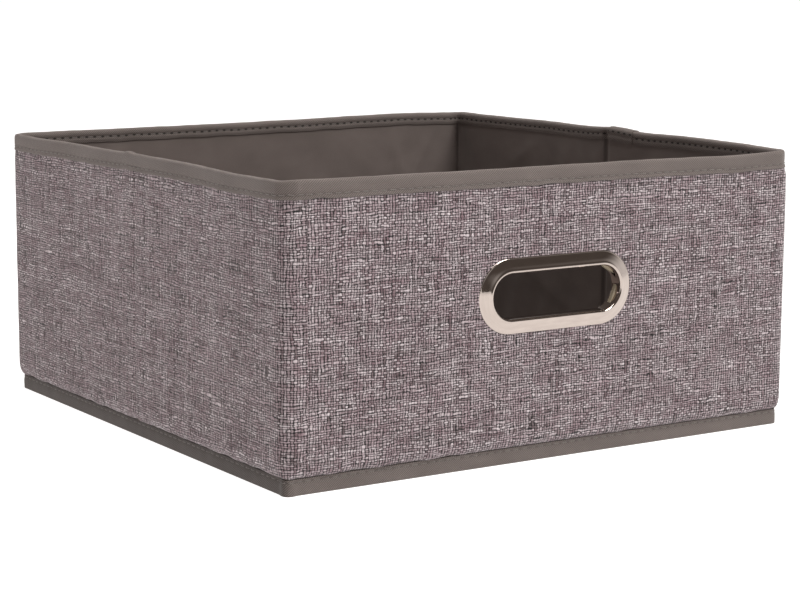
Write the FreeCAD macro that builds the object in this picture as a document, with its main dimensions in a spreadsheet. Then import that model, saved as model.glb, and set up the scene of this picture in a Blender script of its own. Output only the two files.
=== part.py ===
import FreeCAD, Part
import math
import os
import re
import Sketcher

# Fold-flat storage box. X runs along the front wall, +Y is towards the back wall and +Z is up.
# The origin is the middle of the underside. Every size is in millimetres.

doc = FreeCAD.newDocument("storage_bin")
sheet = doc.addObject("Spreadsheet::Sheet", "Sizes")

DRIVING_SIZES = {
    "width": 310.0,  # across the front wall, over the cloth
    "depth": 310.0,  # front to back, over the cloth
    "rim_height": 147.5,  # top of the rim tape
    "outer_cloth": 0.9,
    "panel_board": 2.2,
    "lining_cloth": 0.6,
    "tape_cloth": 0.8,  # rim tape on one face of a wall
    "tape_outside": 9.0,  # height of the rim tape on the outer face
    "tape_inside": 8.0,  # height of the rim tape on the inner face
    "seam_height": 8.0,  # bottom seam, with the bound edge hanging below it
    "edge_inset": 2.3,  # bound edge, back from the face of the outer cloth
    "fold_gap": 0.5,  # between two faces that fold together
    "board_corner_gap": 10.0,  # wall board to the outer corner
    "board_crease_gap": 4.0,  # half board to its crease
    "board_seam_gap": 6.0,
    "board_rim_gap": 2.0,
    "handle_height": 84.5,  # middle of the handle opening
    "opening_width": 78.4,
    "opening_height": 24.8,
    "flange_width": 6.4,
    "flange_rise": 2.6,
    "crest_inset": 2.0,  # crest of the flange, out from the edge of the opening
    "metal_sheet": 0.8,
    "neck_play": 0.3,  # grommet neck in the cloth and board
    "clamp_width": 5.4,
    "clamp_rise": 1.5,
    "clamp_round": 0.5,
    "base_cloth": 0.5,
    "base_cloth_lift": 0.3,  # above the ground
    "base_cloth_play": 0.3,  # to the bound edges
    "base_cloth_upturn": 6.4,
    "insert_play": 1.2,  # loose base board to the edge of the base cloth
    "insert_board": 2.2,
    "insert_wrap": 0.4,
    "insert_wrap_margin": 28.0,  # wrap turned under the base board
    "insert_lift": 0.1,  # base board above the base cloth
}
for row, (alias, number) in enumerate(DRIVING_SIZES.items(), start=1):
    sheet.set(f"A{row}", alias)
    sheet.set(f"B{row}", str(number))
    sheet.setAlias(f"B{row}", alias)
doc.recompute()

# Levels through a wall, measured inwards from the outer face of the rim tape.
CLOTH_FACE = "tape_cloth"
BOARD_FACE = "(tape_cloth + outer_cloth)"
LINING_FACE = "(tape_cloth + outer_cloth + panel_board)"
INNER_FACE = "(tape_cloth + outer_cloth + panel_board + lining_cloth)"
WALL = "(2 * tape_cloth + outer_cloth + panel_board + lining_cloth)"
EDGE_FACE = "(tape_cloth + edge_inset)"

# Levels up a wall.
CORE_TOP = "(rim_height - tape_cloth)"
LIP_TOP = "(seam_height + outer_cloth)"
BOARD_BOTTOM = "(seam_height + board_seam_gap)"
BOARD_TOP = "(rim_height - board_rim_gap)"
TAPE_OUTER_EDGE = "(rim_height - tape_outside)"
TAPE_INNER_EDGE = "(rim_height - tape_inside)"

# Levels in the stack on the ground.
BASE_CLOTH_TOP = "(base_cloth_lift + base_cloth)"
INSERT_BOTTOM = "(base_cloth_lift + base_cloth + insert_lift)"


def named(text):
    """The expression with each driving size looked up in the sheet."""
    return re.sub(r"[a-z][a-z_]+", lambda word: f"Sizes.{word.group(0)}", text)


def value(text):
    return float(sheet.evalExpression(named(text)))


def bind(thing, path, text):
    thing.setExpression(path, named(text))


def new_body(label):
    body = doc.addObject("PartDesign::Body", label)
    body.Label = label
    return body


def new_sketch(body, name, role):
    """Sketch on one of the body's own origin planes."""
    sketch = body.newObject("Sketcher::SketchObject", f"{body.Name}_{name}")
    plane = next(f for f in body.Origin.OriginFeatures if f.Role == role)
    sketch.AttachmentSupport = (plane, [""])
    sketch.MapMode = "FlatFace"
    return sketch


def bind_distance(sketch, kind, geometry, point, text):
    """Distance of a sketch point from the sketch's origin, tied to the sheet."""
    index = sketch.addConstraint(Sketcher.Constraint(kind, -1, 1, geometry, point, value(text)))
    bind(sketch, f"Constraints[{index}]", text)


def draw_steps(sketch, corners):
    """Closed outline of level and upright lines through (across, up) expressions."""
    points = [FreeCAD.Vector(value(across), value(up), 0) for across, up in corners]
    count = len(corners)
    for index in range(count):
        sketch.addGeometry(Part.LineSegment(points[index], points[(index + 1) % count]))
    for index in range(count):
        following = (index + 1) % count
        sketch.addConstraint(Sketcher.Constraint("Coincident", index, 2, following, 1))
    for index in range(count):
        across, up = corners[index]
        next_across, _ = corners[(index + 1) % count]
        if across == next_across:
            sketch.addConstraint(Sketcher.Constraint("Vertical", index))
            kind, text = "DistanceX", across
        else:
            sketch.addConstraint(Sketcher.Constraint("Horizontal", index))
            kind, text = "DistanceY", up
        if text == "0":
            axis = -2 if kind == "DistanceX" else -1
            sketch.addConstraint(Sketcher.Constraint("PointOnObject", index, 1, axis))
        else:
            bind_distance(sketch, kind, index, 1, text)


def pad(body, sketch, length):
    feature = body.newObject("PartDesign::Pad", f"{sketch.Name}_pad")
    feature.Profile = sketch
    bind(feature, "Length", length)
    return feature


def extruded_section(label, corners, start, length):
    """Body with one cross-section along the wall."""
    body = new_body(label)
    sketch = new_sketch(body, "section", "YZ_Plane")
    draw_steps(sketch, corners)
    bind(sketch, "AttachmentOffset.Base.z", start)
    pad(body, sketch, length)
    return body


def draw_obround(sketch, half_straight, radius):
    """Upright obround about the sketch's origin, with level straight sides."""
    run = value(half_straight)
    end = value(radius)
    top = FreeCAD.Vector(0, end, 0)
    across = FreeCAD.Vector(run, 0, 0)
    normal = FreeCAD.Vector(0, 0, 1)
    quarter = math.pi / 2
    sketch.addGeometry(Part.LineSegment(top - across, top + across))
    sketch.addGeometry(Part.ArcOfCircle(Part.Circle(across, normal, end), -quarter, quarter))
    sketch.addGeometry(Part.LineSegment(across - top, -across - top))
    sketch.addGeometry(
        Part.ArcOfCircle(Part.Circle(-across, normal, end), quarter, 3 * quarter)
    )
    for first, first_point, second, second_point in (
        (0, 2, 1, 2),
        (1, 1, 2, 1),
        (2, 2, 3, 2),
        (3, 1, 0, 1),
    ):
        sketch.addConstraint(
            Sketcher.Constraint("Tangent", first, first_point, second, second_point)
        )
    sketch.addConstraint(Sketcher.Constraint("Horizontal", 0))
    sketch.addConstraint(Sketcher.Constraint("Symmetric", 1, 3, 3, 3, -1, 1))
    bind_distance(sketch, "DistanceX", 1, 3, half_straight)
    index = sketch.addConstraint(Sketcher.Constraint("Radius", 1, end))
    bind(sketch, f"Constraints[{index}]", radius)


HALF_STRAIGHT = "(opening_width / 2 - opening_height / 2)"
CUTOUT_RADIUS = "(opening_height / 2 + metal_sheet + neck_play)"


def cut_handle_opening(body):
    """Obround hole through a layer of the front wall."""
    before = body.Shape.Volume
    sketch = new_sketch(body, "opening", "XZ_Plane")
    draw_obround(sketch, HALF_STRAIGHT, CUTOUT_RADIUS)
    bind(sketch, "AttachmentOffset.Base.y", "handle_height")
    pocket = body.newObject("PartDesign::Pocket", f"{sketch.Name}_pocket")
    pocket.Profile = sketch
    pocket.Type = "ThroughAll"
    pocket.SideType = "Symmetric"
    doc.recompute()
    if body.Shape.Volume > before - 1:
        raise RuntimeError(f"the opening missed {body.Label}")


def place(body, across, along, turn):
    """Stand a wall layer, drawn with its outer face at y = 0, on its side of the box."""
    axis = FreeCAD.Vector(0, 0, 1)
    body.Placement = FreeCAD.Placement(
        FreeCAD.Vector(value(across), value(along), 0), FreeCAD.Rotation(axis, turn)
    )
    bind(body, "Placement.Base.x", across)
    bind(body, "Placement.Base.y", along)


# Cross-section of each layer of a wall.
OUTER_CLOTH = [
    (CLOTH_FACE, "seam_height"),
    (LINING_FACE, "seam_height"),
    (LINING_FACE, LIP_TOP),
    (BOARD_FACE, LIP_TOP),
    (BOARD_FACE, CORE_TOP),
    (CLOTH_FACE, CORE_TOP),
]
BOARD = [
    (BOARD_FACE, BOARD_BOTTOM),
    (LINING_FACE, BOARD_BOTTOM),
    (LINING_FACE, BOARD_TOP),
    (BOARD_FACE, BOARD_TOP),
]
LINING = [
    (LINING_FACE, "seam_height"),
    (INNER_FACE, "seam_height"),
    (INNER_FACE, CORE_TOP),
    (LINING_FACE, CORE_TOP),
]
RIM_TAPE = [
    ("0", TAPE_OUTER_EDGE),
    (CLOTH_FACE, TAPE_OUTER_EDGE),
    (CLOTH_FACE, CORE_TOP),
    (INNER_FACE, CORE_TOP),
    (INNER_FACE, TAPE_INNER_EDGE),
    (WALL, TAPE_INNER_EDGE),
    (WALL, "rim_height"),
    ("0", "rim_height"),
]
BOUND_EDGE = [
    (EDGE_FACE, "0"),
    (WALL, "0"),
    (WALL, "seam_height"),
    (EDGE_FACE, "seam_height"),
]
SECTIONS = {
    "outer_cloth": OUTER_CLOTH,
    "board": BOARD,
    "lining": LINING,
    "rim_tape": RIM_TAPE,
    "bottom_binding": BOUND_EDGE,
}

# Front and back walls run the full width. The halves of a side wall run from the inner face of
# the front or back wall to the crease.
FULL_WALL_HALF = {
    "outer_cloth": "(width / 2)",
    "board": "(width / 2 - board_corner_gap)",
    "lining": "(width / 2)",
    "rim_tape": "(width / 2 + tape_cloth)",
    "bottom_binding": "(width / 2 - edge_inset)",
}
SIDE_END = f"(depth / 2 + tape_cloth - {WALL} - fold_gap)"
SIDE_CREASE = "(fold_gap / 2)"
HALF_WALL_ENDS = {
    "outer_cloth": (SIDE_CREASE, SIDE_END),
    "board": ("board_crease_gap", "(depth / 2 - board_corner_gap)"),
    "lining": (SIDE_CREASE, SIDE_END),
    "rim_tape": (SIDE_CREASE, SIDE_END),
    "bottom_binding": (SIDE_CREASE, SIDE_END),
}
HALF_WIDTH = "(width / 2 + tape_cloth)"
HALF_DEPTH = "(depth / 2 + tape_cloth)"

bodies = []
for layer, corners in SECTIONS.items():
    half = FULL_WALL_HALF[layer]
    front = extruded_section(f"front_{layer}", corners, f"-{half}", f"2 * {half}")
    doc.recompute()
    if layer in ("outer_cloth", "board", "lining"):
        cut_handle_opening(front)
    place(front, "0", f"-{HALF_DEPTH}", 0)
    back = extruded_section(f"back_{layer}", corners, f"-{half}", f"2 * {half}")
    place(back, "0", HALF_DEPTH, 180)
    bodies += [front, back]

    inner_end, outer_end = HALF_WALL_ENDS[layer]
    length = f"{outer_end} - {inner_end}"
    for side, x_sign, turn in (("left", "-", -90), ("right", "", 90)):
        # Along the left wall the layer's own x points forwards, along the right wall backwards.
        towards = {"left": ("front", "rear"), "right": ("rear", "front")}[side]
        plus = extruded_section(f"{side}_{towards[0]}_{layer}", corners, inner_end, length)
        minus = extruded_section(f"{side}_{towards[1]}_{layer}", corners, f"-{outer_end}", length)
        for body in (plus, minus):
            place(body, f"{x_sign}{HALF_WIDTH}", "0", turn)
        bodies += [plus, minus]


def draw_outline(sketch, corners):
    """Closed outline of straight lines through (across, up) expressions."""
    points = [FreeCAD.Vector(value(across), value(up), 0) for across, up in corners]
    count = len(corners)
    for index in range(count):
        sketch.addGeometry(Part.LineSegment(points[index], points[(index + 1) % count]))
    for index in range(count):
        following = (index + 1) % count
        sketch.addConstraint(Sketcher.Constraint("Coincident", index, 2, following, 1))
    for index, (across, up) in enumerate(corners):
        bind_distance(sketch, "DistanceX", index, 1, across)
        bind_distance(sketch, "DistanceY", index, 1, up)


# Grommet levels, in depth from the outer face of the rim tape and height from the middle of
# the opening.
OPENING_EDGE = "(opening_height / 2)"
CREST_DEPTH = "(tape_cloth - flange_rise + crest_inset)"
CREST_UP = "(opening_height / 2 + crest_inset)"
FLANGE_EDGE = "(opening_height / 2 + flange_width)"
NECK_END = f"({INNER_FACE} + clamp_rise - metal_sheet / 2)"


def draw_flange_section(sketch):
    """Bent sheet: a sloping flank, a round crest beside the opening and a neck through the wall."""
    sheet_thick = value("metal_sheet")
    outer_radius = value("crest_inset")
    inner_radius = outer_radius - sheet_thick
    centre = FreeCAD.Vector(value(CREST_DEPTH), value(CREST_UP), 0)
    foot = FreeCAD.Vector(value(CLOTH_FACE), value(FLANGE_EDGE), 0)
    to_foot = foot - centre
    # The flank touches the crest where the radius is square to it.
    aim = math.atan2(to_foot.y, to_foot.x) + math.acos(outer_radius / to_foot.Length)
    square = FreeCAD.Vector(math.cos(aim), math.sin(aim), 0)
    flank_top = centre + square * outer_radius
    inner_top = centre + square * inner_radius
    flank = foot - flank_top
    inner_foot = inner_top + flank * ((foot.x - inner_top.x) / flank.x)
    neck_end = value(NECK_END)
    down = FreeCAD.Vector(0, -1, 0)
    outer_neck = centre + down * outer_radius
    inner_neck = centre + down * inner_radius
    outer_end = FreeCAD.Vector(neck_end, outer_neck.y, 0)
    inner_end = FreeCAD.Vector(neck_end, inner_neck.y, 0)
    normal = FreeCAD.Vector(0, 0, 1)
    lowest = 1.5 * math.pi
    outer_crest = Part.ArcOfCircle(Part.Circle(centre, normal, outer_radius), aim, lowest)
    inner_crest = Part.ArcOfCircle(Part.Circle(centre, normal, inner_radius), aim, lowest)
    for curve in (
        Part.LineSegment(foot, flank_top),
        outer_crest,
        Part.LineSegment(outer_neck, outer_end),
        Part.LineSegment(outer_end, inner_end),
        Part.LineSegment(inner_end, inner_neck),
        inner_crest,
        Part.LineSegment(inner_top, inner_foot),
        Part.LineSegment(inner_foot, foot),
    ):
        sketch.addGeometry(curve)
    for joint in ((0, 2, 1, 1), (1, 2, 2, 1), (4, 2, 5, 2), (5, 1, 6, 1)):
        sketch.addConstraint(Sketcher.Constraint("Tangent", *joint))
    for joint in ((2, 2, 3, 1), (3, 2, 4, 1), (6, 2, 7, 1), (7, 2, 0, 1)):
        sketch.addConstraint(Sketcher.Constraint("Coincident", *joint))
    for line in (2, 4):
        sketch.addConstraint(Sketcher.Constraint("Horizontal", line))
    for line in (3, 7):
        sketch.addConstraint(Sketcher.Constraint("Vertical", line))
    sketch.addConstraint(Sketcher.Constraint("Coincident", 1, 3, 5, 3))
    sketch.addConstraint(Sketcher.Constraint("Parallel", 0, 6))
    bind_distance(sketch, "DistanceX", 1, 3, CREST_DEPTH)
    bind_distance(sketch, "DistanceY", 1, 3, CREST_UP)
    bind_distance(sketch, "DistanceX", 0, 1, CLOTH_FACE)
    bind_distance(sketch, "DistanceY", 0, 1, FLANGE_EDGE)
    bind_distance(sketch, "DistanceX", 2, 2, NECK_END)
    for arc, radius in ((1, "crest_inset"), (5, "(crest_inset - metal_sheet)")):
        index = sketch.addConstraint(Sketcher.Constraint("Radius", arc, value(radius)))
        bind(sketch, f"Constraints[{index}]", radius)


CLAMP_INNER = "(opening_height / 2 + metal_sheet)"
CLAMP_OUTER = "(opening_height / 2 + metal_sheet + clamp_width)"
CLAMP_FACE = f"({INNER_FACE} + clamp_rise)"
CLAMP_SECTION = [
    (INNER_FACE, CLAMP_INNER),
    (INNER_FACE, CLAMP_OUTER),
    (f"({INNER_FACE} + clamp_round)", CLAMP_OUTER),
    (CLAMP_FACE, f"({CLAMP_OUTER} - 2 * clamp_round)"),
    (CLAMP_FACE, f"({CLAMP_INNER} + clamp_round)"),
    (f"({CLAMP_FACE} - clamp_round)", CLAMP_INNER),
]


def obround_ring(label, draw_section):
    """Ring of one cross-section around the handle opening, drawn about the opening's middle."""
    body = new_body(label)
    top = new_sketch(body, "side_section", "YZ_Plane")
    draw_section(top)
    bind(top, "AttachmentOffset.Base.z", f"-{HALF_STRAIGHT}")
    straight = pad(body, top, f"2 * {HALF_STRAIGHT}")
    end = new_sketch(body, "end_section", "YZ_Plane")
    draw_section(end)
    bind(end, "AttachmentOffset.Base.z", HALF_STRAIGHT)
    turned = body.newObject("PartDesign::Revolution", f"{label}_end")
    turned.Profile = end
    turned.ReferenceAxis = (end, ["H_Axis"])
    turned.Angle = 180
    doc.recompute()
    if turned.Shape.BoundBox.XMax < value(HALF_STRAIGHT) + value(OPENING_EDGE):
        turned.Reversed = True
        doc.recompute()
    for feature, role, name in ((straight, "XY_Plane", "lower"), (turned, "YZ_Plane", "other_end")):
        mirrored = body.newObject("PartDesign::Mirrored", f"{label}_{name}")
        mirrored.Originals = [feature]
        plane = next(f for f in body.Origin.OriginFeatures if f.Role == role)
        mirrored.MirrorPlane = (plane, [""])
        body.Tip = mirrored
        doc.recompute()
    body.Placement.Base = FreeCAD.Vector(0, -value(HALF_DEPTH), value("handle_height"))
    bind(body, "Placement.Base.y", f"-{HALF_DEPTH}")
    bind(body, "Placement.Base.z", "handle_height")
    return body


bodies.append(obround_ring("handle_grommet", draw_flange_section))
bodies.append(
    obround_ring("handle_clamp_ring", lambda sketch: draw_outline(sketch, CLAMP_SECTION))
)


def block(name, half_across, half_along, bottom, top):
    """Block about the middle of the box, between two heights."""
    solid = doc.addObject("Part::Box", name)
    bind(solid, "Length", f"2 * {half_across}")
    bind(solid, "Width", f"2 * {half_along}")
    bind(solid, "Height", f"{top} - {bottom}")
    bind(solid, "Placement.Base.x", f"-{half_across}")
    bind(solid, "Placement.Base.y", f"-{half_along}")
    bind(solid, "Placement.Base.z", bottom)
    return solid


def cut(label, base, tool):
    result = doc.addObject("Part::Cut", label)
    result.Label = label
    result.Base = base
    result.Tool = tool
    return result


def inside(gap):
    """Half width and half depth of what lies this far inside the bound edges."""
    return [f"({side} / 2 + tape_cloth - {WALL} - {gap})" for side in ("width", "depth")]


# Cloth of the bottom: a flat sheet on the ground, turned up to the seam along its edges.
CLOTH_GAP = "base_cloth_play"
CLOTH_INNER_GAP = "(base_cloth_play + base_cloth)"
base_cloth = cut(
    "bottom_cloth",
    block("base_cloth_outside", *inside(CLOTH_GAP), "base_cloth_lift", "base_cloth_upturn"),
    block("base_cloth_inside", *inside(CLOTH_INNER_GAP), BASE_CLOTH_TOP, "seam_height"),
)

# Loose base board. Its wrap covers the top and the edges and turns under the board.
INSERT_GAP = "(base_cloth_play + base_cloth + insert_play)"
CORE_GAP = f"({INSERT_GAP} + insert_wrap)"
MARGIN_GAP = f"({INSERT_GAP} + insert_wrap_margin)"
CORE_BOTTOM = f"({INSERT_BOTTOM} + insert_wrap)"
CORE_UPPER = f"({CORE_BOTTOM} + insert_board)"
INSERT_TOP = f"({CORE_UPPER} + insert_wrap)"
insert_board = block("base_board", *inside(CORE_GAP), CORE_BOTTOM, CORE_UPPER)
insert_board.Label = "base_board"
insert_wrap = cut(
    "base_board_cover",
    cut(
        "insert_wrap_shell",
        block("insert_wrap_outside", *inside(INSERT_GAP), INSERT_BOTTOM, INSERT_TOP),
        block("insert_wrap_space", *inside(CORE_GAP), CORE_BOTTOM, CORE_UPPER),
    ),
    block("insert_wrap_window", *inside(MARGIN_GAP), INSERT_BOTTOM, CORE_BOTTOM),
)
bodies += [base_cloth, insert_board, insert_wrap]

doc.recompute()
for item in doc.Objects:
    if "Invalid" in item.State or "Error" in item.State:
        raise RuntimeError(f"{item.Label} did not build: {item.State}")
for body in bodies:
    if body.Shape.isNull() or not body.Shape.isValid():
        raise RuntimeError(f"{body.Label} has no valid shape")
    if len(body.Shape.Solids) != 1:
        raise RuntimeError(f"{body.Label} has {len(body.Shape.Solids)} solids")

os.makedirs("parts", exist_ok=True)
for body in bodies:
    body.Shape.exportStep(f"parts/{body.Label}.step")
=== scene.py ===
"""Looks of the folding fabric storage bin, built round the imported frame.

Every wall layer is swept round one perimeter: a place on a wall is (u, d, z), with u the run round
the outer cloth from the front wall's left end, d the depth in from the outer cloth's face and z the
height, all in millimetres. One shape field bows the walls, so that all the layers bow together.
"""

import math

import bmesh
import bpy
import numpy as np
from mathutils import Matrix, Vector


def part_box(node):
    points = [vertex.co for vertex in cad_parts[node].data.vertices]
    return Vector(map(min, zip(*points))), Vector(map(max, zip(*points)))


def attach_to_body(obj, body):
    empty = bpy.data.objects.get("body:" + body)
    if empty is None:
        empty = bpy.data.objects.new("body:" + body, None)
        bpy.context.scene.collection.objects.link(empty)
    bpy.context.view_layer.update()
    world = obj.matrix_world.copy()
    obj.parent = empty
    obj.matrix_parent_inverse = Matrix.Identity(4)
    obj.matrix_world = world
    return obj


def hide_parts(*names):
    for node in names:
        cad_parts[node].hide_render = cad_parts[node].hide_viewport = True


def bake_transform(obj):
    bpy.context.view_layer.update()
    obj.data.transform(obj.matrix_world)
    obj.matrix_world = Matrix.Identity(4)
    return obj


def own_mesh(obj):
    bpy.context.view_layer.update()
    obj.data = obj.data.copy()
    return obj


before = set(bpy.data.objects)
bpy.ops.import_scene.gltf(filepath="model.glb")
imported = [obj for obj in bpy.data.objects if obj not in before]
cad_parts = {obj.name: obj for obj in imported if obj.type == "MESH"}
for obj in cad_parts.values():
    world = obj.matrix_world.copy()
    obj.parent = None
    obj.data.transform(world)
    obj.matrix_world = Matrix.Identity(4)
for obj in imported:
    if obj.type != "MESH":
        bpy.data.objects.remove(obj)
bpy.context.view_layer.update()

MM = 0.001
TAU = 2 * math.pi
stitch_rng = np.random.default_rng(31)


def box_mm(name):
    """A CAD node's lowest and highest corners, in millimetres."""
    lo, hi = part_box(name)
    return np.array(lo) / MM, np.array(hi) / MM


# ---------------------------------------------------------------- levels read from the frame, mm
CLOTH_LO, CLOTH_HI = box_mm("front_outer_cloth")
BOARD_LO, BOARD_HI = box_mm("front_board")
LINING_LO, LINING_HI = box_mm("front_lining")
TAPE_LO, TAPE_HI = box_mm("front_rim_tape")
BINDING_LO, BINDING_HI = box_mm("front_bottom_binding")
SIDE_BOARD_LO, SIDE_BOARD_HI = box_mm("left_rear_board")
GROMMET_LO, GROMMET_HI = box_mm("handle_grommet")
CLAMP_LO, CLAMP_HI = box_mm("handle_clamp_ring")
BASE_CLOTH_LO, BASE_CLOTH_HI = box_mm("bottom_cloth")
BASE_BOARD_LO, BASE_BOARD_HI = box_mm("base_board")
COVER_LO, COVER_HI = box_mm("base_board_cover")

HALF = -CLOTH_LO[1]  # outer cloth face to the middle
CLOTH = HALF + BOARD_LO[1]  # outer cloth thickness
LINING_UNDER = HALF + LINING_LO[1]  # depth of the lining's two faces
LINING_FACE = HALF + LINING_HI[1]
TAPE_OUT = HALF + TAPE_LO[1]  # the tape's faces, outside (negative) and inside
TAPE_IN = HALF + TAPE_HI[1]
RIM = TAPE_HI[2]
TAPE_FOOT = TAPE_LO[2]
TAPE_FOOT_IN = TAPE_FOOT + 1.8  # the tape's inner edge ends higher
SEAM = BINDING_HI[2]
BIND_OUT = HALF + BINDING_LO[1]
BIND_IN = HALF + BINDING_HI[1]
CORE_TOP = RIM - 1.3  # top of the layers inside the rim tape

BEND = 9.0  # corner radius of the outer cloth
STRIP = 4.0  # straight run on each side of a corner that belongs to the corner's piece
STITCH = 5.0  # stitch pitch
RUN = 2 * (HALF - BEND)  # straight run of one wall
ARC = BEND * math.pi / 2
ROUND = 4 * (RUN + ARC)  # whole perimeter

# start of each wall and of the corner after it, along u
U_FRONT, U_FR = 0.0, RUN
U_RIGHT, U_BR = RUN + ARC, 2 * RUN + ARC
U_BACK, U_BL = 2 * (RUN + ARC), 3 * RUN + 2 * ARC
U_LEFT, U_FL = 3 * (RUN + ARC), 4 * RUN + 3 * ARC
END = RUN / 2  # where a wall's straight run ends, from its middle
MID_LEFT, MID_RIGHT = U_LEFT + END, U_RIGHT + END  # the creases of the side walls
CORNER_MIDDLES = [corner + ARC / 2 for corner in (U_FR, U_BR, U_BL, U_FL)]


def smooth(a, b, x):
    """0 before a, 1 after b, smooth between them."""
    t = np.clip((x - a) / (b - a), 0, 1)
    return t * t * (3 - 2 * t)


def bell(x, width):
    """1 where x is 0, and nothing a few widths away."""
    return np.exp(-((x / width) ** 2))


def through(points, n=400):
    """A function that passes smoothly through (x, y) points."""
    xs, ys = (np.array(c, float) for c in zip(*points))
    slope = np.gradient(ys, xs)
    fine = np.linspace(xs[0], xs[-1], n)
    k = np.clip(np.searchsorted(xs, fine) - 1, 0, len(xs) - 2)
    w = xs[k + 1] - xs[k]
    t = (fine - xs[k]) / w
    val = (
        (1 + 2 * t) * (1 - t) ** 2 * ys[k]
        + t * (1 - t) ** 2 * w * slope[k]
        + t * t * (3 - 2 * t) * ys[k + 1]
        - t * t * (1 - t) * w * slope[k + 1]
    )
    return lambda x: np.interp(x, fine, val)


def waves(count, short, long, seed):
    """A smooth wavy function round the whole perimeter, about -1 to 1."""
    r = np.random.default_rng(seed)
    cycles = np.round(ROUND / np.exp(r.uniform(np.log(short), np.log(long), count)))
    phase, size = r.uniform(0, TAU, count), r.uniform(0.5, 1, count)
    size /= np.sqrt((size**2).sum() / 2) * 1.6

    def f(u, shift=0.0):
        u = np.asarray(u, float)
        return sum(
            s * np.sin(TAU * c * u / ROUND + p + shift * (1 + 0.37 * k))
            for k, (c, p, s) in enumerate(zip(cycles, phase, size))
        )

    return f


# The walls at the rim, in mm: how far inwards each one stands (bow) and how much higher its rim is (lift),
# against X on the front and back walls and Y on the side walls.
LEFT_BOW = through(
    [(-END, 0), (-122, 0.6), (-100, 1.1), (-75, 1.8), (-45, 2.2), (-15, 2.2),
     (0, 2.1), (15, 2.1), (45, 2.0), (75, 1.7), (100, 1.1), (122, 0.6), (END, 0)])
RIGHT_BOW = through([(-END, 0), (-110, -1.5), (-75, -2.3), (-40, -1.5), (0, 0),
                     (40, -1.5), (75, -2.3), (110, -1.5), (END, 0)])
BACK_BOW = through([(-END, 0), (-70, 0.5), (0, 0.2), (70, -0.5), (END, 0)])
FRONT_LIFT = through(
    [(-END, 0.5), (-120, 0.25), (-80, 0), (-20, -0.25), (40, -0.35), (80, -0.75), (120, -0.95), (END, -0.4)])
RIGHT_LIFT = through(
    [(-END, -0.2), (-100, 0.3), (-60, 0.2), (-26, 0.0), (-12, 1.0), (-4, 1.2), (8, 0.5), (50, 0.0),
     (90, -0.4), (END, -0.5)])
BACK_LIFT = through(
    [(-END, -1.0), (-100, -1.1), (0, -0.95), (40, -0.6), (80, -0.15), (120, 0.0), (END, -0.8)])
LEFT_LIFT = through(
    [(-END, -0.1), (-120, -0.45), (-90, -0.6), (-60, -0.1), (-20, 0.0), (20, -0.4), (60, -0.75),
     (110, -1.1), (END, -1.0)])
LIFT_FROM = 100.0  # the lift starts at this height
WALL_WAVE = 0.25  # unevenness of the walls
CORNER_PULL = 1.6  # the front left corner is pulled in at the rim
# how sharp each corner is (front right, back right, back left, front left), at its foot, middle and rim
CORNER_SHARP = np.array([(1.2, 0.9, -0.7), (1.0, 0.5, 0.0), (-0.3, 0.3, -1.0), (2.2, 0.5, -0.6)])
FOOT_ZONE = (SEAM - 1, SEAM + 3)  # heights between which the foot's shape becomes the middle's
RIM_ZONE = (RIM - 14, RIM - 6)  # and the middle's becomes the rim's
rim_wave = waves(7, 40, 220, 4)
wall_wave = waves(9, 45, 160, 8)
pucker_wave = waves(16, 9, 34, 15)
lining_wave = waves(14, 14, 70, 23)


def perimeter(u):
    """Centre line point, outward normal, wall number (0 front, 1 right, 2 back, 3 left) and the
    coordinate along that wall, for each u."""
    u = np.mod(np.asarray(u, float), ROUND)
    k = np.minimum((u // (RUN + ARC)).astype(int), 3)
    t = u - k * (RUN + ARC)
    along = np.minimum(t, RUN) - RUN / 2
    turn = np.clip((t - RUN) / ARC, 0, 1) * math.pi / 2
    a = k * math.pi / 2
    c = HALF - BEND
    # front wall frame: along = +X, normal = -Y, then turned by a quarter for each wall
    cx = np.cos(a) * along + np.sin(a) * c
    cy = np.sin(a) * along - np.cos(a) * c
    n = a + turn - math.pi / 2
    return cx, cy, np.cos(n), np.sin(n), k, along


def corner_turn(u):
    """0 along each wall, rising to 1 through the corner after it."""
    return np.clip((np.mod(u, RUN + ARC) - RUN) / ARC, 0, 1)


def rise(z):
    """0 at the seam, 1 at the rim."""
    return np.clip((z - SEAM) / (RIM - SEAM), 0, 1)


def bow(u):
    """How far inwards the wall stands at the rim."""
    *_, k, along = perimeter(u)
    b = np.where(k == 3, LEFT_BOW(-along), 0.0)
    b = np.where(k == 1, RIGHT_BOW(along), b)
    b = np.where(k == 2, BACK_BOW(-along), b)
    b = np.where(k == 0, WALL_WAVE * wall_wave(u) * np.clip(1 - np.abs(along) / END, 0, 1), b)
    near = np.abs(np.mod(u - (U_FL + ARC / 2) + ROUND / 2, ROUND) - ROUND / 2)
    return b + CORNER_PULL * bell(near, 12)


def rim_lift(u):
    """How much higher the rim stands than its level."""
    *_, k, along = perimeter(u)
    lift = np.choose(k, [FRONT_LIFT(along), RIGHT_LIFT(along), BACK_LIFT(-along), LEFT_LIFT(-along)])
    after = np.array([RIGHT_LIFT(-END), BACK_LIFT(END), LEFT_LIFT(END), FRONT_LIFT(-END)])[k]
    lift = lift + (after - lift) * smooth(0, 1, corner_turn(u))
    bump = 0.8 * (k == 3) * bell(along + 10, 3.2)  # on the left wall, just behind its crease
    return lift + bump + 0.12 * rim_wave(u)


def corner_swell(u, z):
    """How far a corner stands out from its round shape."""
    foot, middle, rim = np.moveaxis(CORNER_SHARP[perimeter(u)[4]], -1, 0)
    size = foot + (middle - foot) * smooth(*FOOT_ZONE, z) + (rim - middle) * smooth(*RIM_ZONE, z)
    return size * np.sin(math.pi * corner_turn(u)) ** 2


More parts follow.
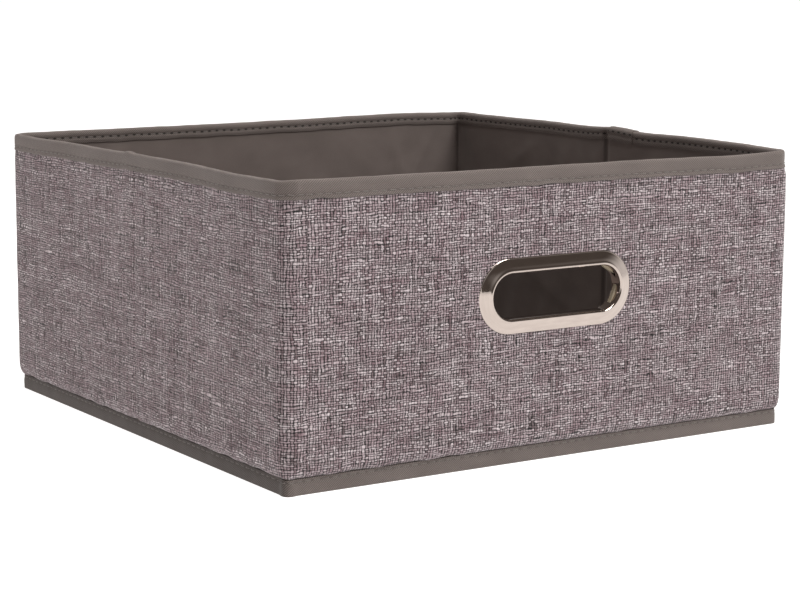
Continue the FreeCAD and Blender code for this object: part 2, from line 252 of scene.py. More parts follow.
def place(u, d, z):
    """Points in millimetres for arrays u, d, z of one shape."""
    u, d, z = np.broadcast_arrays(*(np.asarray(v, float) for v in (u, d, z)))
    cx, cy, nx, ny, k, along = perimeter(u)
    lean = (bow(u) + WALL_WAVE * wall_wave(u, 2.0) * (k != 0)) * rise(z)
    reach = BEND - d - lean + corner_swell(u, z)
    up = rim_lift(u) * smooth(LIFT_FROM, RIM - 6, z)
    return np.stack([cx + nx * reach, cy + ny * reach, z + up], -1)


# ---------------------------------------------------------------- mesh building


def refine(points, step):
    """A polyline through the points, smoothly, with a vertex about every step."""
    p = np.array(points, float)
    ext = np.vstack([2 * p[0] - p[1], p, 2 * p[-1] - p[-2]])
    out = [p[0]]
    for i in range(len(p) - 1):
        a, b, c, e = ext[i : i + 4]
        n = max(1, int(round(np.linalg.norm((c - b)[:2]) / step)))
        for t in np.arange(1, n + 1) / n:
            m1, m2 = (c - a) / 2, (e - b) / 2
            lim = np.abs(c - b) * 3
            m1, m2 = np.clip(m1, -lim, lim), np.clip(m2, -lim, lim)
            h = (2 * t**3 - 3 * t**2 + 1) * b + (t**3 - 2 * t**2 + t) * m1
            h += (-2 * t**3 + 3 * t**2) * c + (t**3 - t**2) * m2
            out.append(h)
    return np.array(out)


def make_object(name, verts, faces, uvs, material):
    """A mesh piece from points in millimetres, smooth but for its sharp edges."""
    mesh = bpy.data.meshes.new(name)
    mesh.from_pydata((np.asarray(verts) * MM).tolist(), [], faces)
    layer = mesh.uv_layers.new(name="UVMap")
    idx = np.zeros(len(mesh.loops), int)
    mesh.loops.foreach_get("vertex_index", idx)
    layer.data.foreach_set("uv", (np.asarray(uvs)[idx] * MM).astype(np.float32).ravel())
    mesh.polygons.foreach_set("use_smooth", np.ones(len(mesh.polygons), bool))
    mesh.set_sharp_from_angle(angle=math.radians(50))
    mesh.materials.append(material)
    obj = bpy.data.objects.new(name, mesh)
    bpy.context.scene.collection.objects.link(obj)
    return obj


def thick(name, face, under, uv, material, keep=None, closed=False):
    """A closed solid from two grids of points, [station, profile point]: the face that shows and
    the one behind it. keep says which grid cells are there; closed joins the last station to the first."""
    nj, ni = face.shape[:2]
    count = nj * ni
    cells = nj if closed else nj - 1
    keep = np.ones((cells, ni - 1), bool) if keep is None else keep

    def at(j, i):
        return (j % nj) * ni + i

    faces, edges = [], {}  # an edge of only one face is on the border
    for j, i in np.argwhere(keep):
        q = [at(j, i), at(j + 1, i), at(j + 1, i + 1), at(j, i + 1)]
        faces.append(q)
        faces.append([v + count for v in q[::-1]])
        for a, b in zip(q, q[1:] + q[:1]):
            if (b, a) in edges:
                del edges[b, a]
            else:
                edges[a, b] = True
    for a, b in edges:
        faces.append([b, a, a + count, b + count])
    verts = np.vstack([face.reshape(-1, 3), under.reshape(-1, 3)])
    uvs = np.vstack([uv.reshape(-1, 2)] * 2)
    used = np.zeros(len(verts), bool)
    used[np.unique(np.concatenate([np.array(f) for f in faces]))] = True
    new = np.cumsum(used) - 1
    faces = [[int(new[v]) for v in f] for f in faces]
    return make_object(name, verts[used], faces, uvs[used], material)


def stations(a, b, step, marks=()):
    """Places along u from a to b, a millimetre apart near the marks."""
    fine = 8  # this far each side of a mark
    n = max(2, int(math.ceil((b - a) / step)) + 1)
    s = np.linspace(a, b, n)
    for m in marks:
        s = s[np.abs(s - m) > fine + 1]
        s = np.append(s, np.arange(-fine, fine + 1) + m)
    return np.sort(s)


def length_along(profile):
    """How far along the profile each of its points lies."""
    return np.concatenate([[0], np.cumsum(np.linalg.norm(np.diff(profile, axis=0), axis=1))])


def inner_of(profile, t):
    """The profile moved by t to its back."""
    g = np.gradient(profile, axis=0)
    g /= np.linalg.norm(g, axis=1)[:, None]
    return profile + np.stack([g[:, 1], -g[:, 0]], -1) * t


# ---------------------------------------------------------------- materials


class Val:
    """A number in a material's node tree; arithmetic on it adds Math nodes."""

    def __init__(self, tree, socket):
        self.tree, self.socket = tree, socket

    def op(self, kind, *others):
        n = self.tree.nodes.new("ShaderNodeMath")
        n.operation = kind
        for i, v in enumerate((self, *others)):
            if isinstance(v, Val):
                self.tree.links.new(v.socket, n.inputs[i])
            else:
                n.inputs[i].default_value = v
        return Val(self.tree, n.outputs[0])

    def __add__(self, o):
        return self.op("ADD", o)

    def __sub__(self, o):
        return self.op("SUBTRACT", o)

    def __mul__(self, o):
        return self.op("MULTIPLY", o)

    __radd__, __rmul__ = __add__, __mul__

    def __rsub__(self, o):
        return self * -1 + o

    def floor(self):
        return self.op("FLOOR")

    def mix(self, a, b):
        """a where this is 0, b where it is 1."""
        return (a if isinstance(a, Val) else self * 0 + a) * (1 - self) + self * b

    def between(self, lo, hi):
        """0 below lo, 1 above hi, smooth between them."""
        n = self.tree.nodes.new("ShaderNodeMapRange")
        n.interpolation_type = "SMOOTHSTEP"
        self.tree.links.new(self.socket, n.inputs["Value"])
        n.inputs["From Min"].default_value, n.inputs["From Max"].default_value = lo, hi
        return Val(self.tree, n.outputs["Result"])


def combine(x, y, z=0.0):
    """A vector socket from three numbers."""
    tree = x.tree
    n = tree.nodes.new("ShaderNodeCombineXYZ")
    for i, v in enumerate((x, y, z)):
        if isinstance(v, Val):
            tree.links.new(v.socket, n.inputs[i])
        else:
            n.inputs[i].default_value = v
    return n.outputs[0]


def noise(x, y, detail=0.0, z=0.0, roughness=0.5):
    """Smooth noise, 0 to 1, over (x, y)."""
    n = x.tree.nodes.new("ShaderNodeTexNoise")
    x.tree.links.new(combine(x, y, z), n.inputs["Vector"])
    n.inputs["Scale"].default_value = 1.0
    n.inputs["Detail"].default_value = detail
    n.inputs["Roughness"].default_value = roughness
    return Val(x.tree, n.outputs[0])


def speckle(x, y):
    """A random number for each whole (x, y)."""
    n = x.tree.nodes.new("ShaderNodeTexWhiteNoise")
    n.noise_dimensions = "2D"
    x.tree.links.new(combine(x, y), n.inputs["Vector"])
    return Val(x.tree, n.outputs["Value"])


def srgb(*levels):
    """A colour from its 0 to 255 levels as a screen shows them."""

    def linear(c):
        return c / 12.92 if c <= 0.04045 else ((c + 0.055) / 1.055) ** 2.4

    return (*(linear(level / 255) for level in levels), 1)


def ramp(value, stops):
    """A colour for each value, through (value, colour) stops."""
    n = value.tree.nodes.new("ShaderNodeValToRGB")
    value.tree.links.new(value.socket, n.inputs["Fac"])
    e = n.color_ramp.elements
    e[0].position, e[0].color = stops[0]
    e[1].position, e[1].color = stops[-1]
    for p, c in stops[1:-1]:
        e.new(p).color = c
    return n.outputs["Color"]


def tint(colour, other, amount):
    """colour mixed towards other by amount."""
    tree = amount.tree
    n = tree.nodes.new("ShaderNodeMix")
    n.data_type = "RGBA"
    tree.links.new(amount.socket, n.inputs["Factor"])
    for key, v in ((6, colour), (7, other)):
        if isinstance(v, bpy.types.NodeSocket):
            tree.links.new(v, n.inputs[key])
        else:
            n.inputs[key].default_value = v
    return n.outputs[2]


def shade(colour, factor):
    """colour multiplied by a number."""
    tree = factor.tree
    n = tree.nodes.new("ShaderNodeMix")
    n.data_type, n.blend_type = "RGBA", "MULTIPLY"
    n.inputs["Factor"].default_value = 1.0
    tree.links.new(colour, n.inputs[6])
    tree.links.new(combine(factor, factor, factor), n.inputs[7])
    return n.outputs[2]


def material(name, **uniform):
    """A material with its shader, and the piece's flat coordinates in millimetres."""
    mat = bpy.data.materials.new(name)
    mat.use_nodes = True
    tree = mat.node_tree
    shader = next(n for n in tree.nodes if n.type == "BSDF_PRINCIPLED")
    for key, v in uniform.items():
        shader.inputs[key.replace("_", " ")].default_value = v
    uvs = tree.nodes.new("ShaderNodeUVMap")
    uvs.uv_map = "UVMap"
    split = tree.nodes.new("ShaderNodeSeparateXYZ")
    tree.links.new(uvs.outputs[0], split.inputs[0])
    u, v = (Val(tree, split.outputs[i]) * (1 / MM) for i in (0, 1))
    return mat, shader, u, v


def paint(shader, colour=None, rough=None, height=None, relief_mm=0.1, strength=1.0):
    """Connects a material's colour, roughness and relief to its shader."""
    tree = shader.id_data
    if colour is not None:
        tree.links.new(colour, shader.inputs["Base Color"])
    if rough is not None:
        tree.links.new(rough.socket, shader.inputs["Roughness"])
    if height is not None:
        b = tree.nodes.new("ShaderNodeBump")
        b.inputs["Strength"].default_value = strength
        b.inputs["Distance"].default_value = relief_mm * MM
        tree.links.new(height.socket, b.inputs["Height"])
        tree.links.new(b.outputs[0], shader.inputs["Normal"])


def heather_material():
    """Linen-look weave: slubby two-tone yarns with odd floats, and painted shade in the gaps between them."""
    warp, weft = 1.62, 1.27  # yarn pitch, mm
    mat, shader, u, v = material("heather_weave", Roughness=0.86, Sheen_Weight=0.2, Sheen_Roughness=0.5,
                                 Specular_IOR_Level=0.25)
    drift_u = noise(u * 0.16, v * 0.07, 1.0)
    drift_v = noise(u * 0.05, v * 0.22, 1.0, z=4.0)
    a = u * (1 / warp) + drift_u * 1.5 + noise(u * 0.42, v * 0.34, 1.0, z=21.0) * 0.9
    b = v * (1 / weft) + drift_v * 2.2 + noise(u * 0.3, v * 0.45, 1.0, z=23.0) * 0.9
    i, j = a.floor(), b.floor()
    fa, fb = a - i - 0.5, b - j - 0.5
    plain = (i + j).op("PINGPONG", 1.0)
    skip = speckle(i, j).op("GREATER_THAN", 0.87)  # a float over the next yarn too
    over = (plain - skip).op("ABSOLUTE").op("GREATER_THAN", 0.5)  # the yarn across is on top
    across, along = fa * fa * 4, fb * fb * 4
    weft_h = 1 - across * 0.4 - along * 1.15
    warp_h = 1 - along * 0.45 - across * 1.15
    height = over.mix(warp_h, weft_h).op("MAXIMUM", 0.0)
    # tone of each yarn, with slubs along it
    row, column = speckle(j, j * 0 + 3.0), speckle(i, i * 0 + 9.0)
    slub_j = noise(a * 0.45, j * 7.31, 1.0)
    slub_i = noise(i * 7.31, b * 0.45, 1.0, z=7.0)
    streak = noise(u * 0.03, j * 3.17, 0.0, z=2.0).between(0.35, 0.75)
    dark_row = noise(u * 0.04, j * 5.7, 0.0, z=13.0).between(0.6, 0.7)
    dark_column = noise(i * 5.7, v * 0.05, 0.0, z=17.0).between(0.58, 0.68)
    weft_tone = 0.61 + (slub_j - 0.5) * 0.8 + (row - 0.5) * 0.16 + streak * 0.16 - dark_row * 0.26
    warp_tone = 0.58 + (slub_i - 0.5) * 0.8 + (column - 0.5) * 0.2 - dark_column * 0.26
    cloudy = noise(u * 0.05, v * 0.06, 2.0, z=5.0)
    tone = over.mix(warp_tone, weft_tone) + (cloudy - 0.5) * 0.2
    colour = ramp(
        tone,
        [
            (0.0, srgb(58, 45, 47)),
            (0.3, srgb(104, 90, 92)),
            (0.55, srgb(150, 136, 139)),
            (0.8, srgb(198, 186, 189)),
            (1.0, srgb(218, 207, 210)),
        ],
    )
    warmth = noise(u * 0.11, v * 0.13, 1.0, z=11.0).between(0.35, 0.65)
    colour = tint(colour, srgb(136, 106, 114), warmth * 0.38)
    # painted shade in the gaps between yarns, deep in some gaps and faint in others
    gap_shade_amount = noise(a * 0.5, b * 0.5, 1.0, z=19.0).between(0.32, 0.62)
    depth = 1 - height.between(0.12, 0.95)
    colour = shade(colour, 1 - depth * (0.78 + gap_shade_amount * 0.2))
    paint(shader, colour, None, height, 0.3, 0.7)
    return mat


def lining_material():
    """Plain thin synthetic cloth, a fine even weave, with painted shade in its grooves and along its folds."""
    mat, shader, u, v = material("lining_weave", Roughness=0.8, Sheen_Weight=0.15, Specular_IOR_Level=0.3)
    pitch = 0.55
    a, b = u * (1 / pitch) + noise(u * 0.05, v * 0.05) * 0.6, v * (1 / pitch)
    fine = (a * math.pi).op("SINE") * (b * math.pi).op("SINE")
    fuzz = noise(u * 1.6, v * 1.6, 3.0)
    cloudy = noise(u * 0.035, v * 0.045, 3.0, z=3.0)
    colour = ramp(
        fuzz * 0.35 + cloudy * 0.65,
        [(0.3, srgb(95, 86, 82)), (0.5, srgb(105, 95, 91)), (0.7, srgb(115, 105, 101))],
    )
    # painted shade in the fine weave's grooves
    colour = shade(colour, 0.96 + fine * 0.05)
    # painted shade along the fold lines at the corners and the creases
    for line in FOLD_SHADE_LINES:
        colour = shade(colour, 1 - (1 - (u - line).op("ABSOLUTE").between(0.3, 1.3)) * 0.35)
    paint(shader, colour, 0.74 + fuzz * 0.14, fine * 0.4 + fuzz * 0.6 + cloudy * 2.0, 0.06, 0.7)
    return mat


def tape_material(name, rows, shaded_stretches=(), crest_highlight=None):
    """Binding tape: diagonal twill ribs, with painted shade between them. rows are the stitched rows' needle
    holes, (v, darkness), with painted shade in them;
    the third argument lists stretches, (from u, to u, darkness), darkened with painted shade; the fourth is
    the v of a painted highlight along the rim's crest."""
    mat, shader, u, v = material(name, Roughness=0.78, Sheen_Weight=0.2, Sheen_Roughness=0.4,
                                 Specular_IOR_Level=0.3)
    wander = noise(u * 0.35, v * 0.35)
    rib = ((u - v * 1.15) * (TAU / 1.3) + wander * 3.0).op("SINE")
    pick = ((u + v * 0.6) * (TAU / 0.55)).op("SINE")
    fuzz = noise(u * 1.3, v * 1.9, 3.0, z=6.0)
    cloudy = noise(u * 0.04, v * 0.12, 2.0)
    colour = ramp(
        fuzz * 0.55 + cloudy * 0.45,
        [(0.28, srgb(96, 87, 83)), (0.5, srgb(106, 97, 93)), (0.75, srgb(118, 108, 104))],
    )
    shadow = 0.92 + rib * 0.4 + pick * 0.05
    near = (u * (1 / STITCH)).op("FRACT") - 0.5
    near = near * near * STITCH**2  # distance to the hole, squared
    # painted shade in the needle holes of each stitched row
    for v0, dark in rows:
        away = v - v0
        hole = 1 - (near * 0.45 + away * away * 2.2).between(0.3, 1.1)
        shadow = shadow * (1 - hole * dark)
    # a painted highlight along the rim's crest
    if crest_highlight is not None:
        shadow = shadow * (1 + (1 - (v - crest_highlight).op("ABSOLUTE").between(0.25, 1.1)) * 0.35)
    # painted shade over the listed stretches
    for start, stop, amount in shaded_stretches:
        shadow = shadow * (1 - u.between(start, start + 6) * (1 - u.between(stop - 3, stop + 3)) * amount)
    colour = shade(colour, shadow)
    paint(shader, colour, 0.7 + fuzz * 0.16, rib * 0.7 + pick * 0.25 + fuzz * 0.6, 0.09, 0.8)
    return mat


def thread_material():
    """Twisted sewing thread."""
    mat, shader, u, v = material("sewing_thread", Roughness=0.55, Sheen_Weight=0.2, Specular_IOR_Level=0.4)
    twist = ((u * 1.0 + v * 1.4) * (TAU / 0.5)).op("SINE")
    tone = noise(u * 0.7, v * 2.0, 2.0)
    colour = ramp(tone, [(0.3, srgb(98, 90, 85)), (0.7, srgb(122, 113, 108))])
    # painted shade along the twist's grooves
    paint(shader, shade(colour, 0.92 + twist * 0.08), None, twist, 0.05, 0.8)
    return mat


def board_material():
    """Grey board with fibres and specks."""
    mat, shader, u, v = material("grey_board", Roughness=0.9, Specular_IOR_Level=0.2)
    fibre = noise(u * 0.5, v * 2.2, 4.0, roughness=0.65)
    spot = noise(u * 2.6, v * 2.6, 1.0, z=9.0).between(0.62, 0.72)
    colour = ramp(fibre, [(0.3, srgb(141, 129, 112)), (0.7, srgb(172, 160, 140))])
    paint(shader, shade(colour, 1 - spot * 0.25), 0.85 + fibre * 0.1, fibre, 0.05, 0.6)
    return mat


def metal_material():
    """Polished plated metal, with faint buffing marks."""
    mat, shader, u, v = material("polished_metal", Metallic=1.0)
    smear = noise(u * 0.12, v * 0.5, 3.0)
    colour = ramp(smear, [(0.3, (0.45, 0.385, 0.35, 1)), (0.7, (0.5, 0.43, 0.39, 1))])
    paint(shader, colour, 0.05 + smear * 0.04, smear, 0.004, 0.3)
    return mat


FOLD_SHADE_LINES = sorted([*CORNER_MIDDLES, MID_LEFT, MID_RIGHT])  # painted shade along these lines in the lining: the corners' middles and the side walls' creases
HEATHER = heather_material()
LINING = lining_material()
THREAD = thread_material()
BOARD = board_material()
METAL = metal_material()


# ---------------------------------------------------------------- the wall sections



def panels(spans):
    """Sections that are one rigid panel each, from the panels' (from u, to u)."""
    return {
        name: (*span, (name if "_" in name else f"{name}_wall",), None, [name]) for name, span in spans.items()
    }


# a section is name: (from u, to u, bodies, crease at, CAD pieces' prefixes)
CORNERS = {
    "corner_front_right": (U_FR - STRIP, U_RIGHT + STRIP, ("front_wall", "right_front"), None, []),
    "corner_back_right": (U_BR - STRIP, U_BACK + STRIP, ("back_wall",), None, []),
    "corner_back_left": (U_BL - STRIP, U_LEFT + STRIP, ("left_rear", "back_wall"), None, []),
    "corner_front_left": (U_FL - STRIP, U_FL + ARC + STRIP, ("front_wall", "left_front"), None, []),
}
FRONT = panels({"front": (U_FRONT + STRIP, U_FR - STRIP)})
BACK = panels({"back": (U_BACK + STRIP, U_BL - STRIP)})
SECTIONS = {
    **FRONT,
    **BACK,
    **CORNERS,
    "left": (U_LEFT + STRIP, U_FL - STRIP, ("left_front", "left_rear"), MID_LEFT,
             ["left_front", "left_rear"]),
    "right": (U_RIGHT + STRIP, U_BR - STRIP, ("right_front", "right_rear"), MID_RIGHT,
              ["right_front", "right_rear"]),
}
HALVES = panels({  # the side walls, split at their creases
    "left_front": (MID_LEFT, U_FL - STRIP),
    "left_rear": (U_LEFT + STRIP, MID_LEFT),
    "right_front": (U_RIGHT + STRIP, MID_RIGHT),
    "right_rear": (MID_RIGHT, U_BR - STRIP),
})
CREASE_HALF = 4.0  # half the span of a side wall's crease
CORNER_STEP = 1.2  # between stations in a corner


def attach(obj, section, bodies, depth, lifts=False):
    """Rides a wall piece on its one body, or, where it spans two bodies, only bakes its transform. depth is
    not used;
    lifts gives a piece on one body its own mesh."""
    if len(bodies) == 1:
        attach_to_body(obj, bodies[0])
        if section == "corner_back_right":
            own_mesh(obj)
        elif lifts:
            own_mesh(obj)
        return
    c, f = (HALF - BEND) * MM, (HALF - depth) * MM
    if section in ("left", "right"):
        x = -HALF * MM if section == "left" else HALF * MM
        start, end = (x, -CREASE_HALF * MM, 0), (x, CREASE_HALF * MM, 0)
    else:
        sx = 1 if "right" in section else -1
        on_front_back = (sx * c, -f if "front" in section else f, 0)
        on_side = (sx * f, -c if "front" in section else c, 0)
        start, end = (on_front_back, on_side) if "front" in section else (on_side, on_front_back)
    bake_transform(obj)


def wall_layer(prefix, face, under, mat, cad, step, texture=None, hole=None, depth=0.0,
               sections=SECTIONS, held=None, lifts=False):
    """Sweeps one layer of the walls. face and under are matching profiles of (d, z) points. cad is the
    layer's name in the CAD nodes that it replaces."""
    run = length_along(face)
    for section, (a, b, bodies, crease, stands) in sections.items():
        us = stations(a, b, step if "corner" not in section else CORNER_STEP, [crease] if crease else [])
        uu = us[:, None] + 0 * face[None, :, 0]
        d, z = face[None, :, 0] + 0 * uu, face[None, :, 1] + 0 * uu
        du, zu = under[None, :, 0] + 0 * uu, under[None, :, 1] + 0 * uu
        if texture:
            d, z, du, zu = texture(uu, d, z, du, zu)
        p, q, keep = place(uu, d, z), place(uu, du, zu), None
        if hole and section == "front":
            p, q, keep = hole(p, q)
        uv = np.stack([uu, run[None, :] + 0 * uu], -1)
        obj = thick(f"{prefix}_{section}", p, q, uv, mat, keep)
        attach(obj, section, bodies, depth, lifts)
        if stands and cad:
            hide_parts(*(f"{n}_{cad}" for n in stands))
        if held:
            near = stands or ["front" if "front" in section else "back"]
            (b - a) * MM


GROOVE_DEPTH, GROOVE_WIDTH, GROOVE_SHIFT = 2.1, 2.0, -1.5  # of the inner layers at a crease


def crease_dip(u, width, shift=0.0):
    """1 at the creases of the side walls; shift moves the right one along its wall."""
    return bell(u - (MID_RIGHT + shift), width) + bell(u - MID_LEFT, width)


def inner_groove(u, z):
    """How far the inner layers sink between the half boards at a side wall's crease."""
    return GROOVE_DEPTH * crease_dip(u, GROOVE_WIDTH, GROOVE_SHIFT) * smooth(RIM - 1.2, RIM - 5, z)


STITCH_HALF = 2.25  # half the length of one stitch
THREAD_WIDE, THREAD_HIGH = 0.27, 0.24  # half its width and half its height
RINGS, SIDES = 9, 8  # loops of points along a stitch, and points in each


def thread_row(prefix, d, z, side, depth, sections=SECTIONS, lifts=False):
    """A row of stitches lying in a layer's groove; side is -1 for threads on the outside and 1 inside."""
    along, round_ = np.linspace(-1, 1, RINGS), np.linspace(0, TAU, SIDES + 1)[:-1]
    for section, (a, b, bodies, *_) in sections.items():
        us, dd, zz, faces, uvs = [], [], [], [], []
        for k in range(math.ceil(a / STITCH), math.ceil(b / STITCH)):
            s = STITCH_HALF * along[:, None] + 0 * round_
            fat = np.sqrt(np.clip(1 - np.abs(along) ** 5, 0.02, 1))[:, None]
            dive = 0.5 * np.abs(along[:, None]) ** 4
            lean = stitch_rng.normal(0, 0.07)
            base = len(us) * s.size
            us.append(k * STITCH + s)
            dd.append(d + side * (THREAD_HIGH / 2 + THREAD_HIGH * fat * np.cos(round_) - dive))
            slip = stitch_rng.normal(0, 0.05)
            zz.append(z + THREAD_WIDE * fat * np.sin(round_) + lean * along[:, None] + slip)
            uvs.append(np.stack([k * STITCH + s, z + THREAD_WIDE * round_ + 0 * s], -1))
            for j in range(RINGS - 1):
                one, two = base + j * SIDES, base + (j + 1) * SIDES
                for i in range(SIDES):
                    after = (i + 1) % SIDES
                    f = [one + i, two + i, two + after, one + after]
                    faces.append(f if side < 0 else f[::-1])
            last = base + (RINGS - 1) * SIDES
            ends = [base + i for i in range(SIDES)], [last + i for i in reversed(range(SIDES))]
            faces += [e if side < 0 else e[::-1] for e in ends]
        au, ad, az = (np.concatenate(x).ravel() for x in (us, dd, zz))
        p = place(au, ad - inner_groove(au, az) * (side > 0), az)
        obj = make_object(f"{prefix}_{section}", p, faces, np.concatenate(uvs).reshape(-1, 2), THREAD)
        attach(obj, section, bodies, depth, lifts)


# handle opening: an obround round a level line at handle height
HANDLE_Z = (GROMMET_LO[2] + GROMMET_HI[2]) / 2
FLANGE_R = (GROMMET_HI[2] - GROMMET_LO[2]) / 2
LINE = GROMMET_HI[0] - FLANGE_R  # half the length of the level line
FLANGE = 6.4  # flange width
HOLE_R = FLANGE_R - FLANGE


def handle_hole(p, q, margin=1.0):
    """Cuts the handle opening out of a front layer: the cells inside it go, and the points of the
    other cells that lie inside it move out on to its curve."""
    edge = HOLE_R + margin

    def measure(x):
        mx = np.clip(x[..., 0], -LINE, LINE)
        rel = np.stack([x[..., 0] - mx, x[..., 2] - HANDLE_Z], -1)
        return mx, rel, np.linalg.norm(rel, axis=-1)

    mx, rel, dist = measure(p)
    inside = dist < edge
    keep = ~(inside[:-1, :-1] & inside[1:, :-1] & inside[1:, 1:] & inside[:-1, 1:])
    moved = rel / np.maximum(dist, 1e-6)[..., None] * edge
    for g in (p, q):
        g[..., 0] = np.where(inside, mx + moved[..., 0], g[..., 0])
        g[..., 2] = np.where(inside, HANDLE_Z + moved[..., 1], g[..., 2])
    return p, q, keep


def cloth_texture(u, d, z, du, zu):
    """Puckers at the seam and under the tape, soft unevenness between them, and the creases."""
    puff = 0.32 * pucker_wave(u) * bell(z - SEAM, 9) + 0.16 * pucker_wave(u, 1.3) * bell(z - TAPE_FOOT, 7)
    soft = 0.1 * lining_wave(u, z / 30) * smooth(20, 40, z) * smooth(RIM - 8, RIM - 25, z)
    dip = 0.5 * crease_dip(u, 2.2) * smooth(SEAM, SEAM + 8, z)
    shift = -puff * 0.5 - np.abs(soft) + dip
    drop = 0.25 * pucker_wave(u, 0.7) * bell(z - SEAM, 2.5)
    return d + shift, z + drop, du + shift, zu + drop


crease_rng = np.random.default_rng(5)
CREASE_SPANS = ((0, ROUND), (40, 130), (-1.3, 1.3), (14, 40), (2, 6), (0.3, 0.9))
LINING_CREASES = [  # (u, z, lean, half length, half width, height) of soft creases in the lining
    (U_BACK + 24, 118, 0.5, 26, 2.0, 0.9), (U_BACK + 38, 112, -0.35, 30, 2.6, 0.8),
    *([crease_rng.uniform(*span) for span in CREASE_SPANS] for _ in range(70)),
]


def creases(u, z):
    """How far the lining's creases stand out."""
    out = 0 * u
    for u0, z0, lean, long, wide, high in LINING_CREASES:
        x, y = u - u0, z - z0
        c, s = math.cos(lean), math.sin(lean)
        out += high * bell(x * c + y * s, wide) * bell(y * c - x * s, long)
    return out


def lining_texture(u, d, z, du, zu):
    """Slack and creases below the tape, sharp folds in the corners, and the grooves at the creases."""
    low = smooth(SEAM + 60, SEAM + 5, z)
    ripple = 0.22 * (lining_wave(u, z / 42) + 1) * (0.4 + 0.6 * low)
    body = smooth(TAPE_FOOT_IN + 2, TAPE_FOOT_IN - 10, z)
    ripple = ripple + creases(u, z)
    for fold in CORNER_MIDDLES:
        ripple = ripple - 1.3 * bell(u - fold, 1.7)
    return d + ripple * body - inner_groove(u, z), z, du + ripple * 0.8 * body - inner_groove(u, zu), zu


# outer cloth: turned in at the seam, up to the rim
cloth_face = refine([(3.0, SEAM + 0.15), (2.2, SEAM + 0.55), (1.25, SEAM + 1.6), (0.5, SEAM + 3.4),
                     (0.1, SEAM + 6.0), (0, SEAM + 9.5), (0, SEAM + 16)]
                    + [(0, z) for z in (40, 60, 80, 100, 120, 134, CORE_TOP)], 2.6)
cloth_under = cloth_face + np.stack([CLOTH * smooth(SEAM, SEAM + 5, cloth_face[:, 1]) + 0.05,
                                     0.85 * smooth(SEAM + 5, SEAM, cloth_face[:, 1])], -1)
wall_layer("cloth", cloth_face, cloth_under, HEATHER, "outer_cloth", 3.0,
           cloth_texture, handle_hole, held="stretched")

lining_face = refine([(LINING_FACE, z) for z in (CORE_TOP, 134, 110, 84, 60, 36, 18, SEAM + 0.4)], 3.0)
lining_under = lining_face - np.array([LINING_FACE - LINING_UNDER, 0])
wall_layer("lining", lining_face, lining_under, LINING, "lining", 3.0,
           lining_texture, handle_hole, depth=LINING_FACE, held="stretched")

# boards: one in each rigid panel, bowed with its cloth
board_face = refine([(CLOTH + 0.02, z) for z in np.linspace(BOARD_LO[2], BOARD_HI[2], 12)], 12)
board_under = board_face + np.array([LINING_UNDER - CLOTH - 0.04, 0])
near, far = SIDE_BOARD_LO[1], SIDE_BOARD_HI[1]  # ends of a half board, from the crease
whole = BOARD_HI[0]  # half of a full-width board
BOARDS = panels({
    "front": (END - whole, END + whole),
    "back": (U_BACK + END - whole, U_BACK + END + whole),
    "left_front": (MID_LEFT + near, MID_LEFT + far),
    "left_rear": (MID_LEFT - far, MID_LEFT - near),
    "right_front": (MID_RIGHT - far, MID_RIGHT - near),
    "right_rear": (MID_RIGHT + near, MID_RIGHT + far),
})
wall_layer("board", board_face, board_under, BOARD, "board", 4.0,
           hole=handle_hole, sections=BOARDS)

# rim tape: folded over the rim and stitched through
ROW_OUT, ROW_IN = TAPE_FOOT + 2.3, RIM - 4.0
TAPE_FACE = TAPE_OUT + 0.25  # the pressed tape lies closer than its full thickness
GROOVE_OUT, GROOVE_IN = TAPE_FACE + 0.16, TAPE_IN - 0.25  # depth of the stitched grooves
TAPE_STEP, TAPE_MID = STITCH / 4, 1.85  # between stations; depth of the fold's middle
tape_points = [  # (face d, face z, under d, under z)
    (TAPE_FACE + 0.3, TAPE_FOOT, 0.02, TAPE_FOOT + 0.1),
    (TAPE_FACE - 0.1, TAPE_FOOT + 0.35, 0.02, TAPE_FOOT + 0.4),
    (TAPE_FACE - 0.08, TAPE_FOOT + 1.1, 0.02, TAPE_FOOT + 1.1),
    (GROOVE_OUT, ROW_OUT, 0.03, ROW_OUT),
    (TAPE_FACE + 0.02, ROW_OUT + 1.2, 0.02, ROW_OUT + 1.2),
    (TAPE_FACE - 0.02, ROW_OUT + 2.6, 0.02, ROW_OUT + 2.6),
    (TAPE_FACE + 0.06, RIM - 1.5, 0.02, RIM - 2.4),
    (TAPE_FACE + 0.6, RIM - 0.3, 0.35, RIM - 1.3),
    (TAPE_MID, RIM - 0.02, TAPE_MID, RIM - 0.95),
    (TAPE_IN - 0.7, RIM - 0.4, LINING_FACE - 0.3, RIM - 1.3),
    (TAPE_IN - 0.08, RIM - 1.4, LINING_FACE + 0.02, RIM - 2.2),
    (TAPE_IN + 0.02, RIM - 2.8, LINING_FACE + 0.02, RIM - 2.8),
    (GROOVE_IN, ROW_IN, LINING_FACE + 0.02, ROW_IN),
    (TAPE_IN + 0.02, ROW_IN - 1.3, LINING_FACE + 0.02, ROW_IN - 1.3),
    (TAPE_IN - 0.25, TAPE_FOOT_IN, LINING_FACE + 0.02, TAPE_FOOT_IN + 0.1),
]
tape_all = refine(tape_points, 0.55)
tape_face, tape_under = tape_all[:, :2], tape_all[:, 2:]


def row_at(profile, d, z):
    """How far along a profile the point nearest (d, z) lies."""
    return length_along(profile)[np.argmin(np.linalg.norm(profile - [d, z], axis=1))]


# the rim tape gets painted shade in its needle holes and a painted highlight along its crest
TAPE = tape_material("rim_twill", [(row_at(tape_face, GROOVE_OUT, ROW_OUT), 0.12),
                                   (row_at(tape_face, GROOVE_IN, ROW_IN), 0.8)],
                     crest_highlight=row_at(tape_face, 1.4, RIM))


